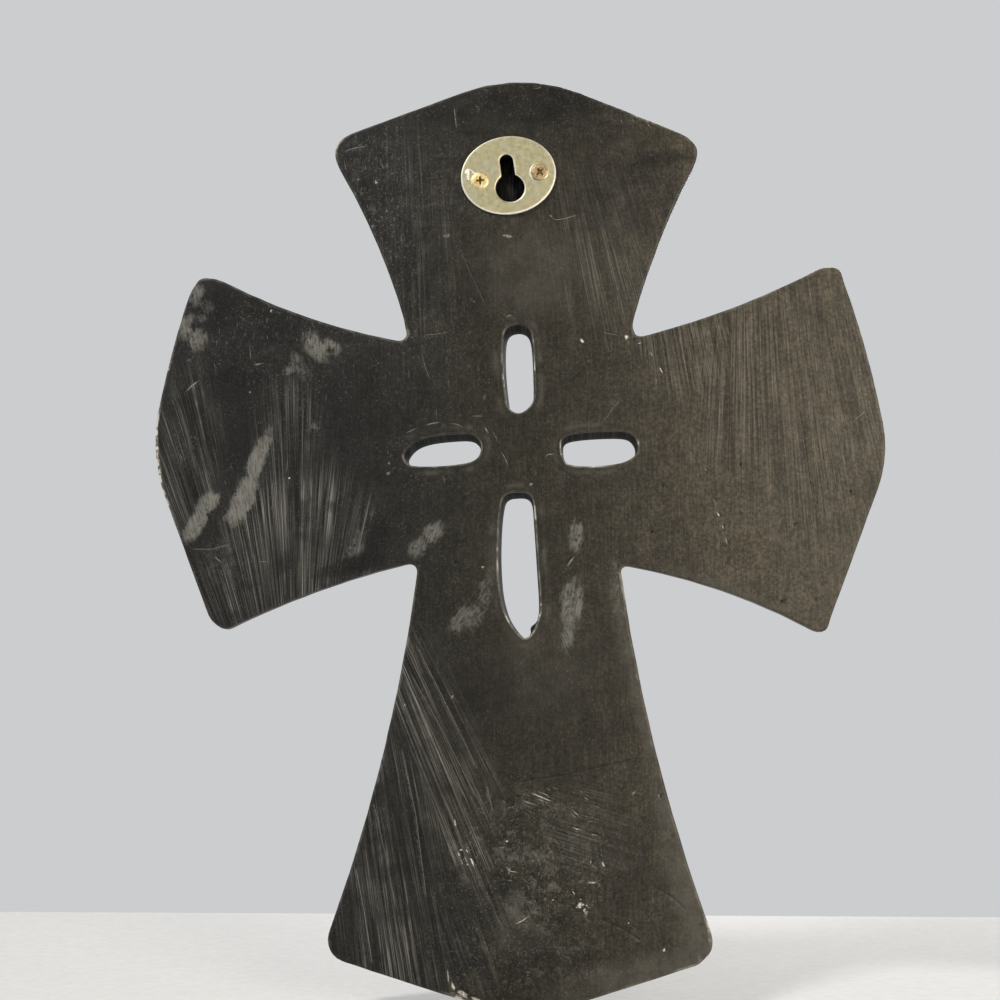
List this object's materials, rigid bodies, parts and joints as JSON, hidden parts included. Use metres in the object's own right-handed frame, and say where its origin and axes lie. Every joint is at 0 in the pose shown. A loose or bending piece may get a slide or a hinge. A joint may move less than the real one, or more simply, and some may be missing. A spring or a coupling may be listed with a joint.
{
  "type": "wall cross",
  "caption": "Flat wall cross with four flared, pointed limbs, slots round the crossing and a raised border, hung by an oval keyhole plate on its back.",
  "frame": {"origin": "on the outer face of the keyhole plate, on its metal, 2.5 mm above the end of the keyhole's slot, where a wall screw carries the cross", "axes": "+Z to the top of the cross, +Y out of its front, -Y into the wall, so +X is to the right as the back is seen"},
  "size_m": [0.2392, 0.0146, 0.3039],
  "materials": {
    "black_resin": "black, worn satin with sanding scratches and grey scuffs",
    "pale_brass": "pale, satin, with bright stamped edges",
    "bright_brass": "bright",
    "dull_brass": "dull, brown"
  },
  "bodies": {
    "root": {"cross_body": "black_resin", "hanger_plate": "pale_brass", "hanger_screw_left": "bright_brass", "hanger_screw_right": "dull_brass"}
  },
  "joints": []
}
